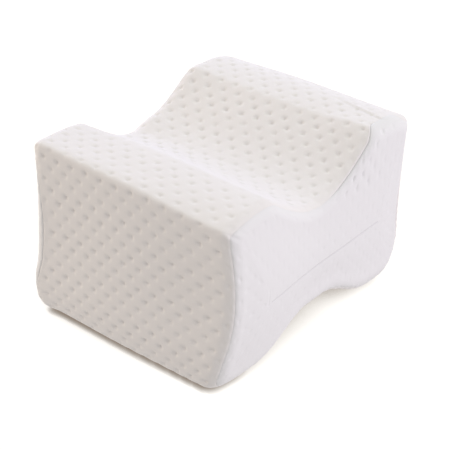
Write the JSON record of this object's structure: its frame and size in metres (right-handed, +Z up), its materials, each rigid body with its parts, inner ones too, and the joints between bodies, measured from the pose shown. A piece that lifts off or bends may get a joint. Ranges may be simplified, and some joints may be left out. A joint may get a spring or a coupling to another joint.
{
  "type": "knee pillow",
  "caption": "Contoured knee pillow: filled fabric cushion with a valley across the top, an arch beneath, rounded lobes and sewn end panels.",
  "frame": {"origin": "on the floor under the middle of the pillow", "axes": "+Z up, X along the valley from one end panel to the other with the zipped end panel at +X, Y from lobe to lobe"},
  "size_m": [0.199, 0.249, 0.1597],
  "materials": {
    "band_knit": "matt dimpled jacquard knit",
    "end_knit": "matt dimpled jacquard knit"
  },
  "bodies": {
    "root": {"cushion_body": "band_knit", "end_panel_zipped": "end_knit", "end_panel_plain": "end_knit"}
  },
  "joints": []
}
